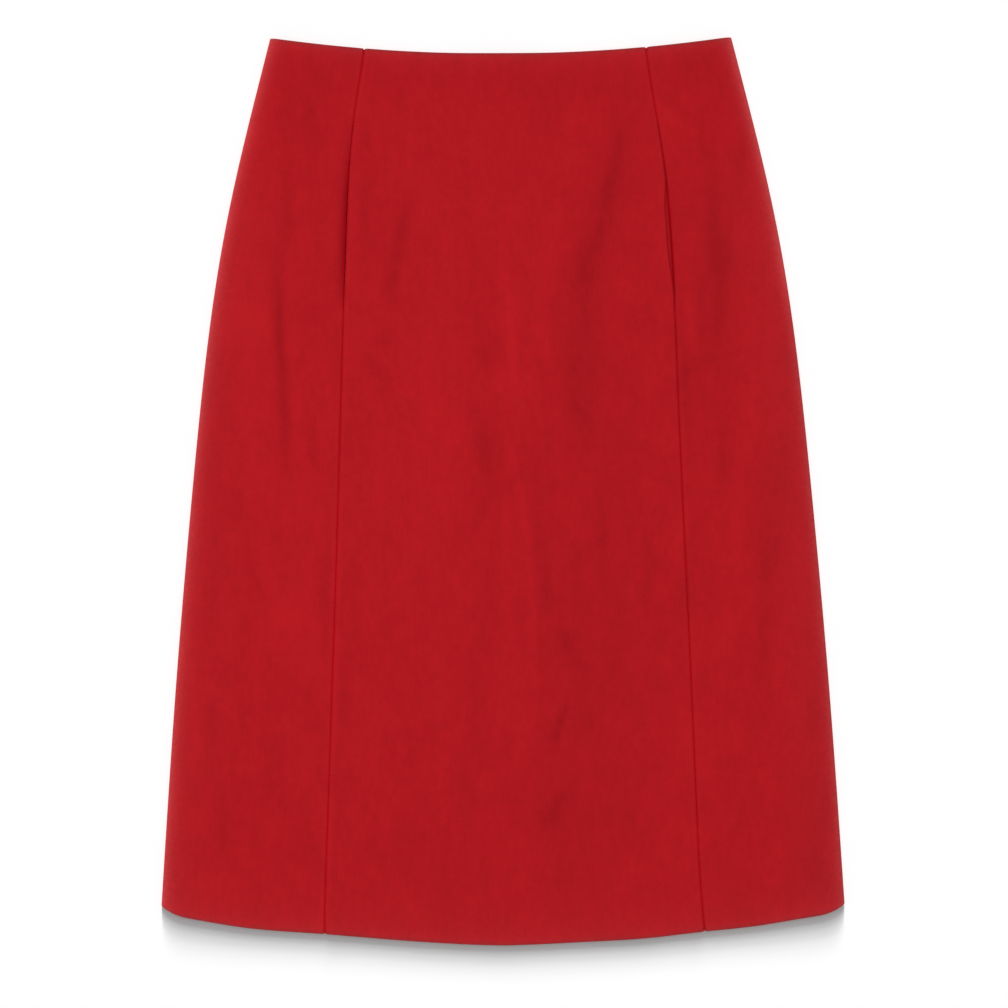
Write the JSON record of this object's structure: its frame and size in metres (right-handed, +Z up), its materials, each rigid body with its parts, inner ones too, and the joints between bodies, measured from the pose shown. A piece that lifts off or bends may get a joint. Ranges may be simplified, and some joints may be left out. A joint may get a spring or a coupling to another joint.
{
  "type": "a-line skirt",
  "caption": "Knee-length a-line skirt in napped red cloth, laid flat on its back, with long front seams, pockets in those seams and a concealed zip at the centre back.",
  "frame": {"origin": "on the surface the skirt lies on, under the middle of the laid-out skirt", "axes": "+Z up from that surface, +Y towards the waist, +X to the right seen from above"},
  "size_m": [0.5308, 0.7051, 0.0065],
  "materials": {
    "cloth": "brushed, softly napped woven cloth",
    "pocketing": "plain fine woven pocketing",
    "zip_tape": "ribbed woven tape",
    "zip_metal": "satin enamel, dyed to match"
  },
  "bodies": {
    "skirt": {"front_centre": "cloth", "front_side_left": "cloth", "front_side_right": "cloth", "back_left": "cloth", "back_right": "cloth", "pocket_left_under": "pocketing", "pocket_left_over": "pocketing", "pocket_right_under": "pocketing", "pocket_right_over": "pocketing", "zip_tape_left": "zip_tape", "zip_tape_right": "zip_tape", "zip_slider": "zip_metal"},
    "pull": {"zip_pull": "zip_metal"}
  },
  "joints": [
    {"name": "pull_hinge", "type": "hinge", "parent": "skirt", "child": "pull", "pos_m": [0, 0.3251, 0.00145], "axis": [1, 0, 0], "range_deg": [0, 170]}
  ]
}
